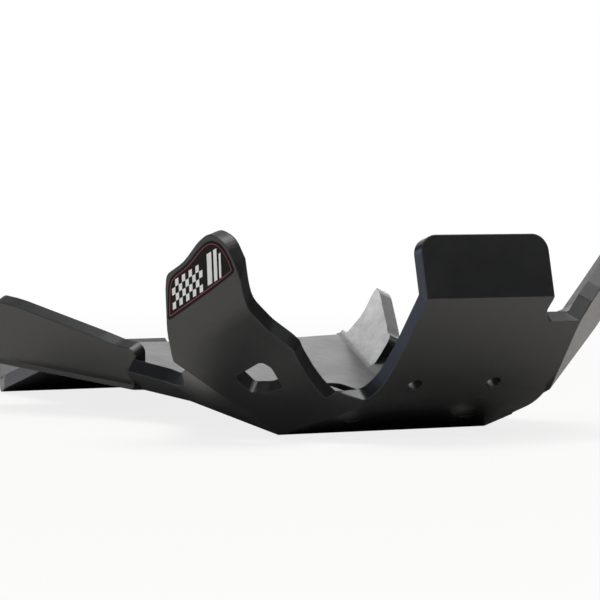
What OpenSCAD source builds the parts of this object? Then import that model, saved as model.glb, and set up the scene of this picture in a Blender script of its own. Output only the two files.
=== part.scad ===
// Motorcycle skid plate: one sheet of black plastic, cut to outline and folded up round the engine.
// Everything is laid out in the frame of the bottom plate, with X forward to the nose, Y to the
// rider's left and Z up. The folded sheet is then pitched until it rests on the floor on its nose
// fold and on the low fold of the linkage guard, with the origin below the middle of its length.

/* [Sheet] */
// Thickness of the sheet
sheet_t = 8; // [5:0.5:10]
// Radius of the outline's plain corners
corner_r = 5; // [2:0.5:7]

/* [Bottom plate] */
// Width of the bottom plate at its nose fold
nose_w = 127; // [110:1:150]
// Length of the bottom plate from its nose fold to the guard's fold
bottom_l = 262; // [240:1:300]
// Length of the straight side of the bottom plate
straight_l = 106; // [90:1:120]
// Angle at which the side opens behind the straight stretch
flare_a = 14; // [8:1:20]
// Length of the opening side that still carries the front flange
flare_l = 41; // [30:1:50]
// Width of the drain slot
slot_w = 10; // [6:0.5:16]
// Length of the drain slot
slot_l = 70; // [40:1:90]
// Distance from the nose fold to the drain slot's rear end
slot_rear = 103; // [95:1:110]
// Distance of the drain slot from the centre line
slot_y = 23; // [12:1:40]

/* [Nose] */
// Angle between the bottom plate and the low nose panel
nose_a = 22.6; // [15:0.5:28]
// Length of the low nose panel up to the big bend
nose_l = 49; // [35:1:60]
// Angle of the front panel above the bottom plate
front_a = 58; // [50:1:65]
// Outer radius of the big bend
front_r = 70; // [50:1:90]
// Length of the flat front panel above the big bend
front_l = 47; // [40:1:60]
// Distance from the centre line to the front panel's left edge
front_edge = 60; // [56:0.5:63]
// Half the width of the front panel at the tab's fold
tab_half = 37.5; // [30:0.5:45]
// Angle of the top tab above the bottom plate
tab_a = 110; // [95:1:115]
// Height of the top tab
tab_h = 33; // [25:1:45]
// Corner radius of the top tab
tab_r = 9; // [4:0.5:14]
// Depth of the step beside the tab below the tab's fold
step_h = 17; // [12:0.5:24]

/* [Mount holes] */
// Diameter of the mount holes
hole_d = 8.5; // [6:0.5:11]
// Spacing of the upper pair of mount holes
upper_gap = 47; // [40:1:52]
// Distance of the upper pair below the tab's fold
upper_drop = 59; // [54:0.5:64]
// Spacing of the lower pair of mount holes
lower_gap = 70; // [60:1:76]
// Distance of the lower pair from the nose fold
lower_l = 30; // [20:1:36]

/* [Front flanges] */
// Angle of the front flanges above the bottom plate
flange_a = 34; // [25:1:45]
// Height of the flange's low rear stretch, along its slope
flange_low = 23; // [16:1:30]
// Angle by which the left-hand bow crease sweeps back
sweep_a = 8.8; // [4:0.2:14]
// Fold angle at the bow crease
bow_a = 27.7; // [20:0.5:34]
// Length of the bow crease
crease_l = 75; // [65:1:85]
// Height of the bow panel up to its soft bend
bow_h = 80; // [70:1:86]
// Fold angle of the soft bend
soft_a = 35; // [25:1:45]
// Outer radius of the soft bends of both bows
soft_r = 34; // [16:1:50]

/* [Rear wings] */
// Angle at which the rear wings' folds open
wing_flare = 21; // [15:1:25]
// Angle of the rear wings above the bottom plate
wing_a = 66; // [58:1:75]
// Distance from the centre line to the front of a rear wing's fold
wing_y = 80; // [76:1:86]
// Height of a rear wing at its front
wing_front_h = 26; // [20:1:32]
// Height of a rear wing at its tip
wing_tip_h = 44; // [36:1:52]
// Distance from a rear wing's front to its tip
wing_tip_x = 96; // [80:1:104]
// Outer radius of a rear wing's fold
wing_fold_r = 12; // [9:0.5:16]

/* [Linkage guard] */
// Width of the linkage guard
guard_w = 140; // [110:1:160]
// Angle of the linkage guard below the bottom plate
guard_a = 20; // [14:1:24]
// Length of the linkage guard down to its low fold
guard_l = 120; // [100:1:135]
// Angle of the tail above the bottom plate
tail_a = 40; // [25:1:50]
// Length of the tail
tail_l = 36; // [28:1:45]
// Amount by which the tail narrows on each side
tail_in = 12; // [4:1:20]
// Outer radius of the guard's low fold
low_fold_r = 14; // [9:0.5:20]

/* [Hidden] */
$fn = 64;

// Slack by which cutting shapes pass through what they cut
cut = 1;

// Geometry of a panel: a plane through a point, a first direction and a side point
function unit(v) = v / norm(v);
function flat_x(o, a) = unit(a - o);
function flat_n(o, a, b) = unit(cross(a - o, b - o));
function flat_y(o, a, b) = cross(flat_n(o, a, b), flat_x(o, a));
function flat(o, a, b, p) = [(p - o) * flat_x(o, a), (p - o) * flat_y(o, a, b)];

// A corner of an outline turned into an arc of radius r
function arc_at(s0, s1, w, t) = (sin((1 - t) * w) * s0 + sin(t * w) * s1) / sin(w);
function corner(a, p, b, r, step) =
    let (u = unit(a - p), v = unit(b - p), w = 180 - acos(u * v))
    r <= 0 || w < 1 ? [p] :
    let (
        c = p + unit(u + v) * r / cos(w / 2),
        s0 = unit(p + u * r * tan(w / 2) - c),
        s1 = unit(p + v * r * tan(w / 2) - c),
        n = ceil(w / step)
    )
    [for (i = [0:n]) c + r * arc_at(s0, s1, w, i / n)];

// An outline whose points are [x, y] or, where the corner is rounded, [x, y, radius]
function spot(p) = [p[0], p[1]];
function smooth(points, step = 12) =
    let (n = len(points))
    [for (i = [0:n - 1])
        let (a = spot(points[(i + n - 1) % n]), b = spot(points[(i + 1) % n]), p = points[i])
        for (q = corner(a, spot(p), b, len(p) > 2 ? p[2] : 0, step)) q];

// Directions and key points of the nose profile, in the X-Z plane
function along(a) = [cos(a), 0, sin(a)];
function across(a) = [-sin(a), 0, cos(a)];
bend_start = nose_l * along(nose_a);
bend_centre = bend_start + front_r * across(nose_a);
bend_end = bend_centre - front_r * across(front_a);
tab_fold = bend_end + front_l * along(front_a);

// Corner points and directions of the right-hand side (negative Y)
half_w = nose_w / 2;
corner_right = [0, -half_w, 0];
crease_dir = [-sin(sweep_a), -cos(sweep_a) * cos(flange_a), cos(sweep_a) * sin(flange_a)];
flange_fwd = [cos(sweep_a), -sin(sweep_a) * cos(flange_a), sin(sweep_a) * sin(flange_a)];
flange_in = [0, sin(flange_a), cos(flange_a)];
bow_fwd = flange_fwd * cos(bow_a) + flange_in * sin(bow_a);
bow_in = cross(crease_dir, bow_fwd);
upper_up = crease_dir * cos(soft_a) + bow_in * sin(soft_a);

// Profile of the linkage guard and its tail, in the X-Z plane
guard_up = [-sin(guard_a), cos(guard_a)];
tail_up = [sin(tail_a), cos(tail_a)];
low_fold = [-bottom_l, 0] - guard_l * [cos(guard_a), sin(guard_a)];
low_up = unit(guard_up + tail_up) / cos((guard_a + tail_a) / 2);
low_centre = low_fold + low_fold_r * low_up;
tail_tip = low_fold + tail_l * [-cos(tail_a), sin(tail_a)];

// Rest pitch and place: the nose fold and the guard's low fold both touch the floor
rest_pitch = atan2(-low_centre.y, -low_centre.x) + asin(low_fold_r / norm(low_centre));
function pitched_x(x, z) = x * cos(rest_pitch) + z * sin(rest_pitch);
rest_x = -(pitched_x(tab_fold.x, tab_fold.z) + pitched_x(tail_tip.x, tail_tip.y)) / 2;

// Puts children drawn in X-Y on the plane through o, towards a, with b on its +Y side
module place(o, a, b) {
    x = flat_x(o, a);
    y = flat_y(o, a, b);
    n = flat_n(o, a, b);
    upright = norm([x.x, x.y]) < 0.000001;
    roll = upright ? atan2(-x.z * y.x, y.y) : atan2(y.z, n.z);
    yaw = upright ? 0 : atan2(x.y, x.x);
    translate(o)
        rotate([roll, -asin(x.z), yaw])
            children();
}

// A flat stretch of the sheet on that plane; side is 1 where the sheet lies along its normal
module panel(o, a, b, side) {
    place(o, a, b)
        translate([0, 0, side > 0 ? 0 : -sheet_t])
            linear_extrude(sheet_t)
                children();
}

// A flat stretch with the given corner points in space
module facet(points, side) {
    o = points[0];
    panel(o, points[1], points[2], side)
        polygon([for (p = points) flat(o, points[1], points[2], p)]);
}

// Cross-section of a bend between outward directions n1 and n2, about its own axis
module bend_section(n2, inner, outer) {
    reach = 3 * outer;
    intersection() {
        difference() {
            circle(outer, $fn = 96);
            if (inner > 0)
                circle(inner, $fn = 96);
        }
        polygon([[0, 0], [reach, 0], reach * ([1, 0] + n2), reach * n2]);
    }
}

// Puts a section drawn about the axis of the fold from p to q, extruded along it
module on_fold(p, q, n1, n2, r, extra) {
    a = unit(q - p);
    axis = p - r * (n1 + n2) / (1 + n1 * n2) - extra * a;
    place(axis, axis + n1, axis + cross(a, n1))
        linear_extrude(norm(q - p) + 2 * extra)
            children();
}

// The other panel's outward direction in the fold's own section plane
function fold_dir(p, q, n1, n2) = [n1 * n2, n2 * cross(unit(q - p), n1)];

// The sheet carried round a fold with the given outer radius
module fold_body(p, q, n1, n2, r, extra = 0) {
    on_fold(p, q, n1, n2, r, extra)
        bend_section(fold_dir(p, q, n1, n2), r - sheet_t, r);
}

// What is cut from a sharp outer fold to leave that radius
module fold_trim(p, q, n1, n2, r, extra = 0) {
    on_fold(p, q, n1, n2, r, extra)
        bend_section(fold_dir(p, q, n1, n2), r, 2 * r);
}

// A bend in profile, where a flat stretch along X ends at the origin and turns up by an angle
module bend_part(r, turn) {
    translate([0, r])
        intersection() {
            difference() {
                circle(r, $fn = 180);
                circle(r - sheet_t, $fn = 180);
            }
            translate([0, -2 * r])
                square(2 * r);
            rotate(turn)
                translate([-2 * r, -2 * r])
                    square(2 * r);
        }
}

// Puts children where that bend ends
module after_bend(r, turn) {
    translate([0, r])
        rotate(turn)
            translate([0, -r])
                children();
}

// Nose strip: the low panel, the big bend and the front panel in profile
module nose_profile() {
    rotate(nose_a) {
        square([nose_l, sheet_t]);
        translate([nose_l, 0]) {
            bend_part(front_r, front_a - nose_a);
            after_bend(front_r, front_a - nose_a)
                square([front_l, sheet_t]);
        }
    }
}

module nose_strip() {
    difference() {
        translate([0, half_w, 0])
            rotate([90, 0, 0])
                linear_extrude(nose_w)
                    nose_profile();
        nose_notches();
        bow_outside();
        mount_holes();
    }
}

// What is cut from the front panel: the deep notch on the right, the step on the left
module nose_notches() {
    reach = 3 * sheet_t;
    place(tab_fold, tab_fold + [0, 1, 0], tab_fold - along(front_a))
        translate([0, 0, -reach])
            linear_extrude(2 * reach) {
                polygon(smooth([
                    [-tab_half, -tab_h], [-tab_half, 2, corner_r], [-39.5, 35, 60], [-43, 60, 30],
                    [-46, 70, corner_r], [-58, 72, 12], [-half_w - reach, 60],
                    [-half_w - reach, -tab_h],
                ]));
                polygon(smooth([
                    [tab_half, -tab_h], [tab_half, 2, corner_r], [tab_half - 1, 9, corner_r],
                    [tab_half + 2, step_h, corner_r], [front_edge + cut, step_h],
                    [half_w + cut, step_h], [half_w + cut, -tab_h],
                ]));
                polygon([
                    [front_edge, -tab_h], [front_edge, 64], [half_w, 140], [half_w + cut, 140],
                    [half_w + cut, -tab_h],
                ]);
            }
}

// The room outside the right-hand bow panel
module bow_outside() {
    big = 3 * nose_w;
    place(corner_right, corner_right + crease_dir, corner_right + bow_fwd)
        translate([-big / 2, -big / 2, -big])
            cube([big, big, big]);
}

module hole_at(x, z, y, slope) {
    translate([x, y, z])
        rotate([0, -slope, 0])
            translate([0, 0, -3 * sheet_t])
                cylinder(d = hole_d, h = 6 * sheet_t);
}

module mount_holes() {
    // The upper pair is centred on the big bend, below the flat front panel
    upper_turn = (upper_drop - front_l) / front_r * 180 / PI;
    upper_slope = front_a - upper_turn;
    upper = bend_centre - front_r * across(upper_slope);
    lower = lower_l * along(nose_a);
    for (y = [-1, 1]) {
        hole_at(upper.x, upper.z, y * upper_gap / 2, upper_slope);
        hole_at(lower.x, lower.z, y * lower_gap / 2, nose_a);
    }
}

// Top tab
module tab() {
    panel(tab_fold, tab_fold + [0, 1, 0], tab_fold + along(tab_a), -1) {
        translate([-tab_half, 0])
            square([2 * tab_half, tab_h - tab_r]);
        translate([tab_r - tab_half, 0])
            square([2 * (tab_half - tab_r), tab_h]);
        for (x = [-1, 1])
            translate([x * (tab_half - tab_r), tab_h - tab_r])
                circle(tab_r);
    }
}

// Bottom plate
wing_x = straight_l + (flare_l + 1) * cos(flare_a);
wing_l = (bottom_l + 12 - wing_x) / cos(wing_flare);
flare_end = [-straight_l - flare_l * cos(flare_a), half_w + flare_l * sin(flare_a)];
wing_start = [-wing_x, wing_y];
wing_end = wing_start + wing_l * [-cos(wing_flare), sin(wing_flare)];

module bottom_plate() {
    linear_extrude(sheet_t)
        difference() {
            union() {
                for (s = [-1, 1])
                    polygon([
                        [0, 0], [0, s * half_w], [-straight_l, s * half_w],
                        [flare_end.x, s * flare_end.y], [wing_start.x, s * wing_start.y],
                        [wing_end.x, s * wing_end.y], [-bottom_l, s * guard_w / 2],
                        [-bottom_l, 0],
                    ]);
            }
            translate([-slot_rear, slot_y]) {
                translate([slot_w / 2, -slot_w / 2])
                    square([slot_l - slot_w, slot_w]);
                for (x = [slot_w / 2, slot_l - slot_w / 2])
                    translate([x, 0])
                        circle(d = slot_w);
            }
        }
}

// Linkage guard and its tail in profile, with the origin on the bottom plate's rear fold
module guard_profile() {
    rear = [bottom_l, 0];
    low = low_fold + rear;
    low_in = low + sheet_t * low_up;
    tip = tail_tip + rear;
    polygon(smooth([
        [sheet_t, 0], [0, 0], [low.x, low.y, low_fold_r], tip, tip + sheet_t * tail_up,
        [low_in.x, low_in.y, low_fold_r - sheet_t],
        [-sheet_t * tan(guard_a / 2), sheet_t, sheet_t], [sheet_t, sheet_t],
    ], 5));
}

module guard() {
    // The sides taper in from just before the low fold
    low_x = low_centre.x + low_fold_r;
    half = guard_w / 2;
    far = 2 * tail_l;
    taper = tail_in / (low_x - tail_tip.x);
    difference() {
        translate([-bottom_l, half, 0])
            rotate([90, 0, 0])
                linear_extrude(guard_w)
                    guard_profile();
        translate([0, 0, -guard_l])
            linear_extrude(2 * guard_l)
                for (s = [-1, 1])
                    polygon([
                        [low_x + sheet_t, s * (half + sheet_t * taper)],
                        [low_x + sheet_t, s * 2 * half], [low_x - far, s * 2 * half],
                        [low_x - far, s * (half - far * taper)],
                    ]);
    }
}

// Rear wing of side s
module rear_wing(s) {
    start = [wing_start.x, s * wing_start.y, 0];
    end = [wing_end.x, s * wing_end.y, 0];
    wing_up = [
        sin(wing_flare) * cos(wing_a),
        s * cos(wing_flare) * cos(wing_a),
        sin(wing_a),
    ];
    wing_n = [
        sin(wing_flare) * sin(wing_a),
        s * cos(wing_flare) * sin(wing_a),
        -cos(wing_a),
    ];
    down = [0, 0, -1];
    difference() {
        union() {
            panel(start, end, start + wing_up, -s)
                polygon(smooth([
                    [0, 0], [-7, wing_front_h / 2, 40], [-12, wing_front_h + 2, corner_r],
                    [2, wing_front_h + 2, 30], [16, wing_front_h + 5, 30],
                    [wing_tip_x - 14, wing_tip_h - 1, 60], [wing_tip_x + 6, wing_tip_h, 6],
                    [wing_tip_x + 2, wing_front_h, 12], [wing_l - 20, 10, 30],
                    [wing_l, 2], [wing_l, 0],
                ]));
            fold_body(start, end, down, wing_n, wing_fold_r);
        }
        fold_trim(start, end, down, wing_n, wing_fold_r, 2 * sheet_t);
    }
}

// Front flange of side s, from its bow crease back to the relief slit
module flange(s, crease_x, crease_up) {
    start = [0, s * half_w, 0];
    turn = [-straight_l, s * half_w, 0];
    back = [flare_end.x, s * flare_end.y, 0];
    out = [0, s * cos(flange_a), sin(flange_a)];
    flare_out = [
        sin(flare_a) * cos(flange_a),
        s * cos(flare_a) * cos(flange_a),
        sin(flange_a),
    ];
    panel(start, turn, start + out, -s)
        polygon(smooth([
            [0, 0], [crease_x, crease_up], [crease_x + 14, crease_up - 3, 12],
            [68, flange_low + 4, 60], [90, flange_low - 1, 40],
            [straight_l, flange_low - 1], [straight_l, 0],
        ]));
    panel(turn, back, turn + flare_out, -s)
        polygon(smooth([
            [0, 0], [flare_l, 0], [flare_l + 1, 11, corner_r],
            [flare_l - 7, flange_low + 1, corner_r], [0, flange_low - 1],
        ]));
}

// Right-hand bow: a strip bent once in profile, then cut to its outline
bow_bend = soft_r * tan(soft_a / 2);
bow_top_l = 48;
bow_reach = 92;

module bow_profile() {
    translate([-20, 0])
        square([bow_h - bow_bend + 20, sheet_t]);
    translate([bow_h - bow_bend, 0]) {
        bend_part(soft_r, soft_a);
        after_bend(soft_r, soft_a)
            square([bow_top_l - bow_bend, sheet_t]);
    }
}

// Cuts through the lower panel: in front of the notch's edge, behind the crease, and the window
module bow_lower_cuts() {
    far = 2 * bow_reach;
    polygon(smooth([
        [-24, 70], [-20, 68], [-11, 64, corner_r], [-4, 51, 3], [2, 51, 12], [11, 53, 12],
        [21, 57.5, 20], [33, 64.5, 20], [39, 69, corner_r], [44, 70, 14], [58, 70.5, 20],
        [74, 75, 20], [96, 90], [96, far], [-24, far],
    ]));
    polygon([
        [crease_l - 11, -far], [crease_l - 11, -7], [bow_h + 6, 12], [bow_h + 6, -far],
    ]);
    bow_window();
}

// Outline of the upper panel, from just below the soft bend's middle up
module bow_upper_cuts() {
    far = 2 * bow_reach;
    difference() {
        translate([-bow_bend, -far])
            square([far, 2 * far]);
        polygon(smooth([
            [-bow_bend - cut, -4], [0, 8, 12], [26, 28, 6], [32, 34, 8], [32.5, 51, 40],
            [37, 68, 20], [38, 79, 9], [30, 87, 10], [17, 86, 20], [-bow_bend - cut, 79],
        ]));
    }
}

module bow_right() {
    o = corner_right;
    top = o + bow_h * crease_dir;
    difference() {
        place(o, o + crease_dir, o - bow_in)
            linear_extrude(bow_reach)
                mirror([0, 1])
                    bow_profile();
        place(o, o + crease_dir, o + bow_fwd)
            translate([0, 0, -sheet_t])
                linear_extrude(5 * sheet_t)
                    bow_lower_cuts();
        place(top, top + upper_up, top + bow_fwd)
            translate([0, 0, -sheet_t])
                linear_extrude(3 * sheet_t)
                    bow_upper_cuts();
        nose_outside();
    }
}

// Window in the right-hand bow panel
module bow_window() {
    polygon(smooth([
        [44, 20, 3], [44, 45, 3], [38, 46, 3], [24, 38, 2], [26, 26, 4], [31, 17, 3],
    ]));
}

// The room below and in front of the nose strip
module nose_outside() {
    far = 3 * nose_w;
    translate([0, half_w, 0])
        rotate([90, 0, 0])
            linear_extrude(2 * nose_w)
                difference() {
                    polygon([
                        [-far, 0], [0, 0], [bend_start.x, bend_start.z],
                        [bend_end.x, bend_end.z], [tab_fold.x, tab_fold.z],
                        [tab_fold.x + far, tab_fold.z + far * tan(front_a)],
                        [tab_fold.x + far, -far], [-far, -far],
                    ]);
                    translate([bend_centre.x, bend_centre.z])
                        circle(front_r, $fn = 180);
                }
}

// Left-hand bow: the side panel, the front return beside the nose strip and the upper panel
left_foot = [0, half_w, 0];
return_low = tab_fold - 64 * along(front_a) + [0, front_edge, 0];
return_top = tab_fold - step_h * along(front_a) + [0, front_edge, 0];
bow_mid = [39.5, 110, 64.5];
bow_top = [63, 114, 108];
bow_rear = [-14, 123, 49];

module bow_left() {
    side_n = flat_n(left_foot, return_low, bow_mid);
    upper_n = flat_n(bow_mid, bow_top, bow_rear);
    flange_n = [0, sin(flange_a), -cos(flange_a)];
    crease = unit(cross(side_n, flange_n));
    crease_end = left_foot + 62 * (crease.z > 0 ? crease : -crease);
    difference() {
        union() {
            facet([left_foot, return_low, bow_mid, bow_rear, crease_end], 1);
            panel(return_low, return_top, bow_mid, 1)
                polygon(concat(
                    [[0, 0], flat(return_low, return_top, bow_mid, return_top)],
                    [[55, 9], [59, 18], [64, 32], [68, 48], [69, 60], [67, 67]],
                    [flat(return_low, return_top, bow_mid, bow_top)],
                    [flat(return_low, return_top, bow_mid, bow_mid)]
                ));
            upper = [
                bow_mid, bow_top, bow_rear + [64, -7, 63], bow_rear + [48, -4, 52],
                bow_rear + [24, -2, 29], bow_rear + [0, 0, 7], bow_rear,
            ];
            panel(bow_mid, bow_top, bow_rear, 1)
                polygon([for (p = upper) flat(bow_mid, bow_top, bow_rear, p)]);
            fold_body(bow_mid, bow_rear, -side_n, -upper_n, soft_r);
        }
        fold_trim(bow_mid, bow_rear, -side_n, -upper_n, soft_r, 3 * sheet_t);
    }
}

// The whole folded sheet, in the bottom plate's frame
module folded_sheet() {
    bottom_plate();
    nose_strip();
    flange(-1, 60 * sin(sweep_a), 60 * cos(sweep_a));
    flange(1, 31, 54);
    bow_right();
    bow_left();
    tab();
    guard();
    rear_wing(-1);
    rear_wing(1);
}

module skid_plate() {
    color("#232425") {
        translate([rest_x, 0, 0])
            rotate([0, rest_pitch, 0])
                folded_sheet();
    }
}

skid_plate();
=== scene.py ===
# %% [markdown]
# # A folded skid plate under studio light
# The whole object is one 8 mm sheet of black polyethylene, heated and bent
# into a tray that bolts under a motorcycle's engine. The CAD model already
# holds every bend and hole, so this lesson keeps that mesh as it is and adds
# what CAD can't show: the surface of the sheet, a printed sticker and a
# photographer's white table.

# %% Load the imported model
import math

import bmesh
import bpy
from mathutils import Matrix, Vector


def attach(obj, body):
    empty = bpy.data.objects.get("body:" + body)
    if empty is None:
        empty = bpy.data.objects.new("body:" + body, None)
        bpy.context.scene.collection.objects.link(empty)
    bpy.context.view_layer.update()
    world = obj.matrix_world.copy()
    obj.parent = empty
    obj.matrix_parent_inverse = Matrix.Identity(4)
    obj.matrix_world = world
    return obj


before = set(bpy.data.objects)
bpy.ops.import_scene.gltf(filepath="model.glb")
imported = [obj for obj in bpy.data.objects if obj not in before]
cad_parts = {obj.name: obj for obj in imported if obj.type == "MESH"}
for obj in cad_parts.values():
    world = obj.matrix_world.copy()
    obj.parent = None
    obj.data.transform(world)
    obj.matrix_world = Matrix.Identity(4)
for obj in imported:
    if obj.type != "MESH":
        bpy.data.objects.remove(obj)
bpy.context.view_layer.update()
MM = 0.001  # the script's sizes are in millimetres, and Blender's are in metres
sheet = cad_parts["skid_plate"]

# %% [markdown]
# ## The camera
# A catalogue picture is taken from far away with a long lens, so that the
# nose doesn't swell towards the viewer. A short lens close by would show the
# same faces, but it would bend the straight folds towards the picture's
# edges. The camera stands 28 degrees off the nose, almost at table height.

# %% Place the camera
TARGET = Vector((122.0, -38.0, 69.9)) * MM  # the point in the middle of the picture
DISTANCE = 1650 * MM
LENS = 184.5  # of a 36 mm wide sensor, so the picture is 322 mm wide at the target
TURN = math.radians(28)  # from straight ahead, towards the rider's right
RISE = math.radians(2.3)

to_camera = Vector((
    math.cos(TURN) * math.cos(RISE),
    -math.sin(TURN) * math.cos(RISE),
    math.sin(RISE),
))
camera = bpy.data.objects.new("camera", bpy.data.cameras.new("camera"))
bpy.context.scene.collection.objects.link(camera)
camera.data.lens = LENS
camera.location = TARGET + to_camera * DISTANCE
camera.rotation_mode = "QUATERNION"
camera.rotation_quaternion = to_camera.to_track_quat("Z", "Y")
bpy.context.scene.camera = camera
print("camera at", [round(c / MM) for c in camera.location], "mm")

# %% [markdown]
# ## Two helpers for every material
# Colours are picked on a screen, as hex values. A renderer adds up
# light, so it needs them as linear numbers. The second helper adds one node
# with its settings and its wires, and keeps each recipe below short.


# %% Colour and node helpers
def hex_colour(code):
    """Linear RGBA of an sRGB hex value such as "1d1e20"."""
    parts = [int(code[i:i + 2], 16) / 255 for i in (0, 2, 4)]
    linear = [p / 12.92 if p <= 0.04045 else ((p + 0.055) / 1.055) ** 2.4 for p in parts]
    return (*linear, 1.0)


def add_node(tree, kind, links=(), values=(), **settings):
    """A node with its settings, socket values and (socket, source) links."""
    node = tree.nodes.new(kind)
    for name, value in settings.items():
        setattr(node, name, value)
    for socket, value in values:
        node.inputs[socket].default_value = value
    for socket, source in links:
        tree.links.new(source, node.inputs[socket])
    return node


def new_material(name):
    """A material with its Principled shader, both ready for more nodes."""
    made = bpy.data.materials.new(name)
    made.use_nodes = True
    return made, made.node_tree, made.node_tree.nodes["Principled BSDF"]


# %% [markdown]
# ## Black polyethylene sheet
# Skid plates of this kind are cut from extruded high-density polyethylene,
# coloured through with carbon black. The rolls leave a satin skin with a
# very fine orange peel. Handling adds soft cloudy rub marks, and hot bending
# stretches the skin a little, so the gloss isn't even. A painted colour map
# could show that, but it would need unwrapping over every fold. Noise read
# at the object's own coordinates runs through the solid, so it carries
# across the folds and over the sawn edges without a seam.

# %% Make the sheet's material
CLOUD = 38 * MM  # width of a rub mark
PEEL = 1.6 * MM  # the real skin's waves are about half as wide, too fine to show here
SCRATCH = 3.0 * MM  # spacing of the fine handling scratches
PEEL_HEIGHT = 0.05 * MM
SCRATCH_TURN = (0.3, 0.2, 0.5)  # radians, so that they run askew to every fold
SCRATCH_STRETCH = (0.15, 1.0, 1.0)  # about seven times as long as wide

plastic, tree, skin = new_material("black_polyethylene_sheet")
place = add_node(tree, "ShaderNodeTexCoord")
cloud = add_node(
    tree, "ShaderNodeTexNoise", [("Vector", place.outputs["Object"])],
    [("Scale", 1 / CLOUD), ("Detail", 4.0), ("Roughness", 0.6)],
)
along_sheet = add_node(
    tree, "ShaderNodeMapping", [("Vector", place.outputs["Object"])],
    [("Rotation", SCRATCH_TURN), ("Scale", SCRATCH_STRETCH)],
)
scratch = add_node(
    tree, "ShaderNodeTexNoise", [("Vector", along_sheet.outputs["Vector"])],
    [("Scale", 1 / SCRATCH), ("Detail", 3.0), ("Roughness", 0.7)],
)
peel = add_node(
    tree, "ShaderNodeTexNoise", [("Vector", place.outputs["Object"])],
    [("Scale", 1 / PEEL), ("Detail", 2.0)],
)
for pattern, width in (("rub marks", CLOUD), ("scratches", SCRATCH), ("orange peel", PEEL)):
    print(pattern, round(width / MM, 1), "mm")

# %% [markdown]
# The sawn edges were run over with a scraper, which leaves a narrow paler
# band along each corner. The Bevel node tells where a corner is: there its
# rounded normal leans away from the flat one. The same node softens the
# corner's shading, so no geometry has to change.

# %% Find the corners and mix the finish
DEBUR = 0.9 * MM  # how far a scraper rounds the sawn edges
BAND_START = 0.98  # cosine of the normal's lean where the pale band begins
BAND_FULL = 0.86
SHEET_DARK = "17181a"
SHEET_PALE = "212224"
SCRAPED = "34373c"
GLOSSY = 0.31  # roughness of the untouched skin
WORN = 0.4
RUB_LOW, RUB_HIGH = 0.7, 1.3  # what the two noises mostly add up to

rounded = add_node(tree, "ShaderNodeBevel", [], [("Radius", DEBUR)], samples=6)
flat = add_node(tree, "ShaderNodeNewGeometry")
lean = add_node(
    tree, "ShaderNodeVectorMath",
    [(0, rounded.outputs["Normal"]), (1, flat.outputs["True Normal"])],
    operation="DOT_PRODUCT",
)
corner = add_node(
    tree, "ShaderNodeMapRange", [("Value", lean.outputs["Value"])],
    [("From Min", BAND_START), ("From Max", BAND_FULL), ("To Min", 0.0), ("To Max", 1.0)],
)
tint = add_node(tree, "ShaderNodeMix", [("Factor", cloud.outputs["Fac"])], data_type="RGBA")
tint.inputs["A"].default_value = hex_colour(SHEET_DARK)
tint.inputs["B"].default_value = hex_colour(SHEET_PALE)
edge_tint = add_node(
    tree, "ShaderNodeMix", [("Factor", corner.outputs["Result"])], data_type="RGBA",
)
tree.links.new(tint.outputs["Result"], edge_tint.inputs["A"])
edge_tint.inputs["B"].default_value = hex_colour(SCRAPED)
rub = add_node(
    tree, "ShaderNodeMath", [(0, cloud.outputs["Fac"]), (1, scratch.outputs["Fac"])],
    operation="ADD",
)
gloss = add_node(
    tree, "ShaderNodeMapRange", [("Value", rub.outputs["Value"])],
    [("From Min", RUB_LOW), ("From Max", RUB_HIGH), ("To Min", GLOSSY), ("To Max", WORN)],
)
waves = add_node(
    tree, "ShaderNodeBump",
    [("Height", peel.outputs["Fac"]), ("Normal", rounded.outputs["Normal"])],
    [("Strength", 0.12), ("Distance", PEEL_HEIGHT)],
)
tree.links.new(edge_tint.outputs["Result"], skin.inputs["Base Color"])
tree.links.new(gloss.outputs["Result"], skin.inputs["Roughness"])
tree.links.new(waves.outputs["Normal"], skin.inputs["Normal"])
skin.inputs["IOR"].default_value = 1.6  # plain polyethylene has 1.54, a rolled skin shines more
for holder in sheet.material_slots:
    holder.material = plastic
print("sheet material on", len(sheet.material_slots), "slot(s)")

# %% [markdown]
# ## Printed vinyl
# The sticker is cut vinyl film with a matt laminate: flat inks with little
# gloss of their own. That is why its black looks deeper than the black sheet
# round it, which is never without a sheen. One material with a mask could
# hold all the inks, but a material for each keeps its edges sharp from any
# distance. Each ink is nearly one colour, with the faint drift of a printed
# solid.


# %% Make the sticker's inks
DRIFT = 6 * MM  # width of the faint clouds in a printed solid


def ink(name, low, high, shine):
    """Laminated vinyl whose colour drifts a little between two hex values."""
    made, tree, shader = new_material(name)
    here = add_node(tree, "ShaderNodeTexCoord")
    drift = add_node(
        tree, "ShaderNodeTexNoise", [("Vector", here.outputs["Object"])],
        [("Scale", 1 / DRIFT), ("Detail", 3.0)],
    )
    shade = add_node(tree, "ShaderNodeMix", [("Factor", drift.outputs["Fac"])], data_type="RGBA")
    shade.inputs["A"].default_value = hex_colour(low)
    shade.inputs["B"].default_value = hex_colour(high)
    tree.links.new(shade.outputs["Result"], shader.inputs["Base Color"])
    shader.inputs["Roughness"].default_value = 0.3
    shader.inputs["Specular IOR Level"].default_value = shine
    return made


black_ink = ink("black_vinyl_film", "030303", "070707", 0.12)
white_ink = ink("white_vinyl_ink", "f6f7f8", "ffffff", 0.4)
red_ink = ink("red_vinyl_ink", "7c2a33", "a04650", 0.3)
print("inks:", black_ink.name, white_ink.name, red_ink.name)

# %% [markdown]
# ## Where the sticker lies
# It lies on the outer face of the rider's right bow, above the soft bend.
# Its shapes are easier to draw flat, so `on_bow` takes a point in the bow's
# own directions (along the panel, up the panel and out from it) and gives
# the point on the real panel. The four vectors are the CAD model's own
# values for that face.

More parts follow.
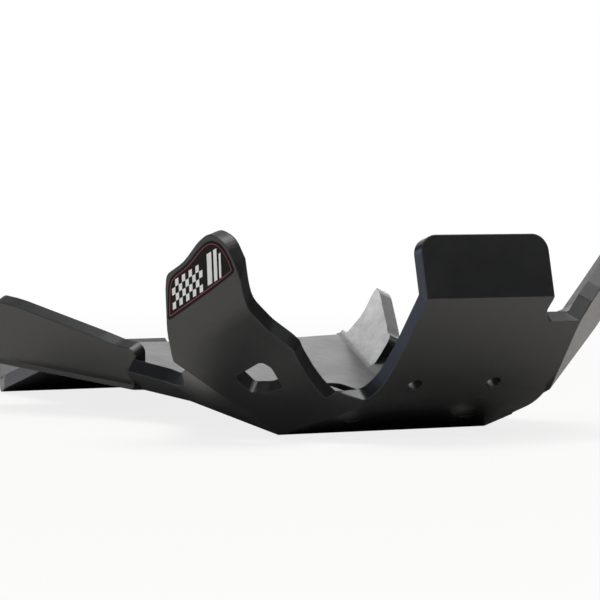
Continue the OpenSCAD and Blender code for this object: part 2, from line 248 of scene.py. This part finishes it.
# %% Find the bow's outer face
BOW_START = Vector((137.92, -129.04, 45.25))  # where the soft bend begins, in mm
BOW_ALONG = Vector((0.91848, 0.14764, 0.36687))  # towards the front tip
BOW_UP = Vector((-0.29748, -0.35332, 0.88694))
BOW_OUT = BOW_ALONG.cross(BOW_UP)


def on_bow(along, up, out):
    """The place, in metres, of a point given in the bow panel's own directions in mm."""
    return (BOW_START + BOW_ALONG * along + BOW_UP * up + BOW_OUT * out) * MM


print("the panel looks towards", [round(c, 2) for c in BOW_OUT])

# %% [markdown]
# ## The sticker's film
# The film is a real sheet, 0.25 mm thick with its laminate, so its rim
# catches the light and throws a thread of shadow. A picture mapped onto the
# panel would lie dead flat. The outline is a short list of points that
# follows the panel's free edge at a steady margin, and three rounds of
# corner-cutting turn it into a smooth curve, as a plotter's knife does.


# %% Cut the film
def cut_corners(points, rounds):
    """Each round replaces a corner by two points, a quarter of the way along its sides."""
    for _ in range(rounds):
        cut = []
        for here, there in zip(points, points[1:] + points[:1]):
            cut.append(tuple(a * 0.75 + b * 0.25 for a, b in zip(here, there)))
            cut.append(tuple(a * 0.25 + b * 0.75 for a, b in zip(here, there)))
        points = cut
    return points


def film_piece(name, shapes, low, high, material):
    """Flat shapes, as lists of (along, up) in mm, thickened from low to high over the panel."""
    mesh = bpy.data.meshes.new(name)
    bm = bmesh.new()
    for shape in shapes:
        bottom = [bm.verts.new(on_bow(a, u, low)) for a, u in shape]
        top = [bm.verts.new(on_bow(a, u, high)) for a, u in shape]
        bm.faces.new(bottom)
        bm.faces.new(top[::-1])
        for i, j in zip(range(len(shape)), [*range(1, len(shape)), 0]):
            bm.faces.new((bottom[j], bottom[i], top[i], top[j]))
    bmesh.ops.triangulate(bm, faces=[f for f in bm.faces if len(f.verts) > 4])
    bmesh.ops.recalc_face_normals(bm, faces=bm.faces)
    bm.to_mesh(mesh)
    bm.free()
    mesh.materials.append(material)
    piece = bpy.data.objects.new(name, mesh)
    bpy.context.scene.collection.objects.link(piece)
    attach(piece, "root")
    print(name, len(shapes), "shape(s),", len(mesh.polygons), "faces")


OUTLINE = [  # (along, up) on the panel, in mm
    (18.0, 11.2), (22.0, 16.0), (25.6, 20.2), (31.8, 26.8), (37.0, 30.0),
    (52.5, 30.6), (67.5, 34.4), (77.5, 35.0), (83.9, 29.6), (84.5, 21.0),
    (84.0, 17.5), (83.4, 14.3), (77.0, 13.8), (60.0, 12.6), (24.5, 11.3),
]
ROUNDS = 3
FOOT = -0.05  # mm above the panel: sunk a little, so that no gap shows under the rim
FILM = 0.25  # mm, film and laminate together
INK = 0.03  # mm that an ink stands proud of the film
film_piece("sticker_film", [cut_corners(OUTLINE, ROUNDS)], FOOT, FILM, black_ink)

# %% [markdown]
# ## The printed lines
# A thin red line runs round inside the rim. The outline's corner points are
# moved inwards, once for each side of the line, and both rows are rounded as
# the film was. Moving the many points of the rounded outline instead would
# make the line cross itself at the film's sharp tip.


# %% Print the red line
def inset(points, distance):
    """The closed outline with every side moved inwards by distance."""
    last, following = points[-1:] + points[:-1], points[1:] + points[:1]
    area = sum(a[0] * b[1] - b[0] * a[1] for a, b in zip(points, following))
    side = 1 if area > 0 else -1
    moved = []
    for before, here, after in zip(last, points, following):
        arrive = (Vector(here) - Vector(before)).normalized() * side
        leave = (Vector(after) - Vector(here)).normalized() * side
        inwards = Vector((-arrive.y - leave.y, arrive.x + leave.x))
        moved.append(tuple(Vector(here) + inwards * (distance / (1 + arrive.dot(leave)))))
    return moved


RED_INSET = 1.3  # mm of black between the film's rim and the line
RED_WIDTH = 0.45
outer = cut_corners(inset(OUTLINE, RED_INSET), ROUNDS)
inner = cut_corners(inset(OUTLINE, RED_INSET + RED_WIDTH), ROUNDS)
quads = [[outer[i], outer[i - 1], inner[i - 1], inner[i]] for i in range(len(outer))]
film_piece("sticker_red_line", quads, FILM, FILM + INK, red_ink)

# %% [markdown]
# ## The printed motif
# The print is a plain racing motif: a leaning field of checks, as on a
# finishing flag, and three bars. The checks differ only by their row and
# column, so Geometry Nodes put one cell on every second point of a grid.
# Copying by hand would work for eighteen cells, but a change of their size
# would then mean eighteen edits.

# %% Build the tree that repeats the checks
checks_tree = bpy.data.node_groups.new("checks", "GeometryNodeTree")
for socket_name, kind in (
    ("Cell", "NodeSocketGeometry"), ("Columns", "NodeSocketInt"), ("Rows", "NodeSocketInt"),
    ("Cell Size", "NodeSocketFloat"), ("Ink", "NodeSocketMaterial"),
):
    checks_tree.interface.new_socket(socket_name, in_out="INPUT", socket_type=kind)
checks_tree.interface.new_socket("Checks", in_out="OUTPUT", socket_type="NodeSocketGeometry")
given = add_node(checks_tree, "NodeGroupInput")
cells = add_node(
    checks_tree, "ShaderNodeMath",
    [(0, given.outputs["Columns"]), (1, given.outputs["Rows"])], operation="MULTIPLY",
)
line = add_node(checks_tree, "GeometryNodeMeshLine", [("Count", cells.outputs["Value"])])
number = add_node(checks_tree, "GeometryNodeInputIndex")
column = add_node(
    checks_tree, "ShaderNodeMath",
    [(0, number.outputs["Index"]), (1, given.outputs["Columns"])], operation="MODULO",
)
ratio = add_node(
    checks_tree, "ShaderNodeMath",
    [(0, number.outputs["Index"]), (1, given.outputs["Columns"])], operation="DIVIDE",
)
row = add_node(checks_tree, "ShaderNodeMath", [(0, ratio.outputs["Value"])], operation="FLOOR")
print("checks tree: counting nodes ready,", len(checks_tree.nodes), "so far")

# %% [markdown]
# Each point now knows its row and column. Their product with the cell's size
# is its place, and where their sum is even it carries a cell.

# %% Place the cells and finish the tree
across = add_node(
    checks_tree, "ShaderNodeCombineXYZ",
    [("X", column.outputs["Value"]), ("Y", row.outputs["Value"])],
)
spot = add_node(
    checks_tree, "ShaderNodeVectorMath",
    [(0, across.outputs["Vector"]), ("Scale", given.outputs["Cell Size"])], operation="SCALE",
)
grid = add_node(
    checks_tree, "GeometryNodeSetPosition",
    [("Geometry", line.outputs["Mesh"]), ("Position", spot.outputs["Vector"])],
)
total = add_node(
    checks_tree, "ShaderNodeMath",
    [(0, column.outputs["Value"]), (1, row.outputs["Value"])], operation="ADD",
)
odd = add_node(
    checks_tree, "ShaderNodeMath",
    [(0, total.outputs["Value"])], [(1, 2.0)], operation="MODULO",
)
even = add_node(
    checks_tree, "ShaderNodeMath",
    [(0, odd.outputs["Value"])], [(1, 0.5)], operation="LESS_THAN",
)
copies = add_node(
    checks_tree, "GeometryNodeInstanceOnPoints",
    [("Points", grid.outputs["Geometry"]), ("Selection", even.outputs["Value"]),
     ("Instance", given.outputs["Cell"])],
)
real = add_node(
    checks_tree, "GeometryNodeRealizeInstances", [("Geometry", copies.outputs["Instances"])],
)
inked = add_node(
    checks_tree, "GeometryNodeSetMaterial",
    [("Geometry", real.outputs["Geometry"]), ("Material", given.outputs["Ink"])],
)
add_node(checks_tree, "NodeGroupOutput", [("Checks", inked.outputs["Geometry"])])
print("checks tree:", len(checks_tree.nodes), "nodes")

# %% [markdown]
# One cell is drawn flat, a hair smaller than its pitch. The modifier makes
# the field, the result is frozen into a plain mesh, and only then is each of
# its points leaned over and carried onto the panel.

# %% Repeat the cells and lay them on the film
CELL = 3.2  # pitch of the grid, in mm
CELL_GAP = 0.08  # so that two cells never share a corner
COLUMNS = 9
ROWS = 4
LEAN = 0.75  # how far the field leans forward for each mm of height
CHECKS_START = (26.0, 14.6)  # (along, up) of the first cell's corner, in mm

cell_mesh = bpy.data.meshes.new("one_check")
low, high = CELL_GAP / 2, CELL - CELL_GAP / 2
ring = ((low, low), (high, low), (high, high), (low, high))
cell_mesh.from_pydata(
    [(x, y, z) for z in (0, INK) for x, y in ring], [],
    [(3, 2, 1, 0), (4, 5, 6, 7), (0, 1, 5, 4), (1, 2, 6, 5), (2, 3, 7, 6), (3, 0, 4, 7)],
)
cell = bpy.data.objects.new("one_check", cell_mesh)
bpy.context.scene.collection.objects.link(cell)
modifier = cell.modifiers.new("checks", "NODES")
modifier.node_group = checks_tree
sockets = {
    item.name: item.identifier
    for item in checks_tree.interface.items_tree if item.in_out == "INPUT"
}
modifier[sockets["Columns"]] = COLUMNS
modifier[sockets["Rows"]] = ROWS
modifier[sockets["Cell Size"]] = CELL
modifier[sockets["Ink"]] = white_ink
made_field = cell.evaluated_get(bpy.context.evaluated_depsgraph_get())
field_mesh = bpy.data.meshes.new_from_object(made_field)
cell.modifiers.clear()
for vertex in field_mesh.vertices:
    x, y, z = vertex.co
    vertex.co = on_bow(CHECKS_START[0] + x + y * LEAN, CHECKS_START[1] + y, FILM + z)
checks = bpy.data.objects.new("sticker_checks", field_mesh)
bpy.context.scene.collection.objects.link(checks)
bpy.data.objects.remove(cell)
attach(checks, "root")
print("sticker_checks:", len(field_mesh.polygons) // len(cell_mesh.polygons), "cells")

# %% [markdown]
# Three bars fill the wide end of the film. They lean as the checks do and
# get thinner towards the front, so the field seems to run out in speed
# lines. A table of starts and widths is enough for three.

# %% Print the bars
BAR_LOW = 15.6  # where the bars' feet stand, up the panel in mm
BARS = [(60.0, 4.2, 29.4), (66.0, 3.0, 29.4), (70.8, 1.8, 26.4)]  # start, width, top


def bar(start, width, top):
    """A strip that leans as the checks do."""
    end, reach = start + width, (top - BAR_LOW) * LEAN
    return [(start, BAR_LOW), (end, BAR_LOW), (end + reach, top), (start + reach, top)]


film_piece("sticker_bars", [bar(*sizes) for sizes in BARS], FILM, FILM + INK, white_ink)

# %% [markdown]
# ## The white table
# A catalogue picture stands on a white sweep. Seen straight by the camera,
# the table glows nearly white; in the sheet's reflections, and for the light
# that falls on the object, it is an ordinary white board. Light Path tells
# those rays apart. Making the lamps strong enough to burn the table out
# instead would wash out the black sheet. Close to the object a little of the
# board's own shading stays in view, which keeps the soft shadow under it.
# Far off the glow takes over, so that no horizon shows.


# %% Make the table
FADE_START = 0.35  # metres from the object's middle, where its shadow still shows
FADE_END = 1.5  # metres; from here on the table is all glow
NEAR_GLOW = 0.82  # the glow's share of the picture close to the object
FLOOR_HALF = 12.0  # metres
FLOOR_DROP = 0.0002  # metres below the object, so that the two never share a plane


def white_board(name):
    """White board that glows for camera rays, NEAR_GLOW of it close by and all of it far off."""
    made, tree, shader = new_material(name)
    shader.inputs["Base Color"].default_value = hex_colour("f3f0ea")
    shader.inputs["Roughness"].default_value = 0.9
    here = add_node(tree, "ShaderNodeTexCoord")
    away = add_node(
        tree, "ShaderNodeVectorMath", [(0, here.outputs["Object"])], operation="LENGTH",
    )
    fade = add_node(
        tree, "ShaderNodeMapRange", [("Value", away.outputs["Value"])],
        [("From Min", FADE_START), ("From Max", FADE_END), ("To Min", NEAR_GLOW), ("To Max", 1.0)],
        interpolation_type="SMOOTHSTEP",
    )
    ray = add_node(tree, "ShaderNodeLightPath")
    seen = add_node(
        tree, "ShaderNodeMath",
        [(0, ray.outputs["Is Camera Ray"]), (1, fade.outputs["Result"])], operation="MULTIPLY",
    )
    glow = add_node(tree, "ShaderNodeEmission")
    both = add_node(
        tree, "ShaderNodeMixShader",
        [(0, seen.outputs["Value"]), (1, shader.outputs["BSDF"]), (2, glow.outputs["Emission"])],
    )
    tree.links.new(both.outputs["Shader"], tree.nodes["Material Output"].inputs["Surface"])
    return made


floor_mesh = bpy.data.meshes.new("floor")
square = ((-1, -1), (1, -1), (1, 1), (-1, 1))
floor_mesh.from_pydata(
    [(x * FLOOR_HALF, y * FLOOR_HALF, -FLOOR_DROP) for x, y in square], [], [(0, 1, 2, 3)],
)
floor_mesh.materials.append(white_board("white_table"))
floor = bpy.data.objects.new("floor", floor_mesh)
bpy.context.scene.collection.objects.link(floor)
print("floor", 2 * FLOOR_HALF, "m wide")

# %% [markdown]
# ## The light
# Black plastic shows what it reflects more than what falls on it. So the
# brightest surfaces stand behind the object: a large softbox and a low strip
# lay a pale sheen on the inside of the tray, and leave the faces towards the
# camera dark. A softbox overhead lights the table, which passes its light on
# to the outer faces from below. Two weaker ones fill in from the front and
# the right. Two small cool strips at the left pick out the sawn edges. The
# room round them stays dim, as in a real studio, and only the camera sees it
# white. One even dome of light would be simpler, but it would put the same
# grey on every panel, and the folds would stop reading.


# %% Light the set
MIDDLE = Vector((0.0, 0.0, 0.05))  # metres; every lamp points here
ROOM = 0.02  # how bright the dim room is, next to the white that the camera sees


def softbox(name, place, width, height, watts, colour):
    """An area lamp, sizes in metres, that the camera can't see."""
    lamp = bpy.data.lights.new(name, "AREA")
    lamp.shape = "RECTANGLE"
    lamp.size = width
    lamp.size_y = height
    lamp.energy = watts
    lamp.color = hex_colour(colour)[:3]
    made = bpy.data.objects.new(name, lamp)
    bpy.context.scene.collection.objects.link(made)
    made.location = place
    made.rotation_mode = "QUATERNION"
    made.rotation_quaternion = (Vector(place) - MIDDLE).to_track_quat("Z", "Y")
    made.visible_camera = False
    print(name, watts, "W")


# name, place, width and height in metres, watts, colour
softbox("back_softbox", (-2.6, 1.4, 1.5), 3.4, 2.4, 18, "ffffff")
softbox("back_strip", (-3.4, 1.7, 0.45), 3.0, 0.8, 21, "ffffff")
softbox("top_softbox", (0.2, 0.2, 2.4), 1.8, 1.8, 43, "ffffff")
softbox("right_softbox", (1.2, 1.2, 2.0), 1.4, 1.4, 8, "ffffff")
softbox("front_softbox", (2.0, -1.6, 1.8), 1.4, 1.4, 14, "ffffff")
softbox("edge_strip", (-2.8, -1.5, 0.4), 1.4, 0.6, 5, "c4d4ff")
softbox("left_strip", (0.8, -2.6, 0.5), 1.6, 0.8, 3, "e2eaff")

world = bpy.data.worlds.new("studio")
bpy.context.scene.world = world
world.use_nodes = True
sky = world.node_tree
around = sky.nodes["Background"]
around.inputs["Color"].default_value = hex_colour("ffffff")
ray = add_node(sky, "ShaderNodeLightPath")
level = add_node(
    sky, "ShaderNodeMapRange", [("Value", ray.outputs["Is Camera Ray"])],
    [("To Min", ROOM), ("To Max", 1.0)],
)
sky.links.new(level.outputs["Result"], around.inputs["Strength"])
bpy.context.scene.view_settings.view_transform = "Standard"
